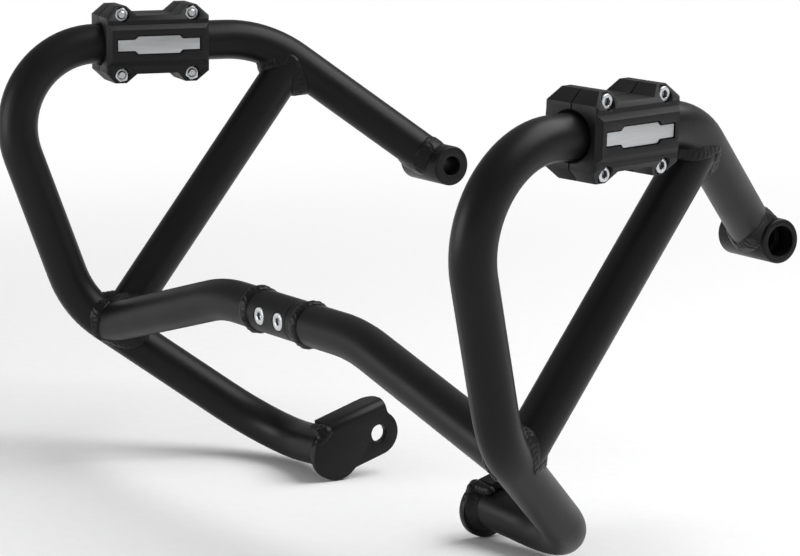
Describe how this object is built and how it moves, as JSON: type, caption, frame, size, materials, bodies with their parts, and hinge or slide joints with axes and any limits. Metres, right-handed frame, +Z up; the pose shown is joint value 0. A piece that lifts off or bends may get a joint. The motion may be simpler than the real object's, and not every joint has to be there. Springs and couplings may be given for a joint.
{
  "type": "motorcycle crash bars",
  "caption": "Motorcycle crash bars: bent tube hoops with braces, bolted together at a front cross tube, with clamp-on sliders, upper bolt bushes and lower plate brackets.",
  "frame": {"origin": "on the ground plane under the middle of the part, in the vehicle's middle plane", "axes": "+X to the rider's left, +Y to the rear, +Z up"},
  "size_m": [0.5296, 0.281, 0.2818],
  "materials": {
    "powder_coat": "satin black powder coat",
    "slider_plastic": "matte black moulded nylon",
    "zinc_steel": "bright zinc plate",
    "badge_aluminium": "satin"
  },
  "bodies": {
    "root": {"joint_screws": "zinc_steel", "joint_sleeve": "powder_coat", "joint_spigot": "powder_coat", "left_arm_weld": "powder_coat", "left_badge_inner": "badge_aluminium", "left_badge_outer": "badge_aluminium", "left_brace_foot_weld": "powder_coat", "left_brace_top_weld": "powder_coat", "left_brace_tube": "powder_coat", "left_bracket_weld": "powder_coat", "left_bush_weld": "powder_coat", "left_clamp_inner": "slider_plastic", "left_clamp_nuts": "zinc_steel", "left_clamp_outer": "slider_plastic", "left_clamp_screws": "zinc_steel", "left_cross_tube": "powder_coat", "left_joint_weld": "powder_coat", "left_lower_bracket": "powder_coat", "left_main_hoop": "powder_coat", "left_upper_bush": "powder_coat", "right_arm_weld": "powder_coat", "right_badge_inner": "badge_aluminium", "right_badge_outer": "badge_aluminium", "right_brace_foot_weld": "powder_coat", "right_brace_top_weld": "powder_coat", "right_brace_tube": "powder_coat", "right_bracket_weld": "powder_coat", "right_bush_weld": "powder_coat", "right_clamp_inner": "slider_plastic", "right_clamp_nuts": "zinc_steel", "right_clamp_outer": "slider_plastic", "right_clamp_screws": "zinc_steel", "right_cross_tube": "powder_coat", "right_joint_weld": "powder_coat", "right_lower_bracket": "powder_coat", "right_main_hoop": "powder_coat", "right_upper_bush": "powder_coat"}
  },
  "joints": []
}
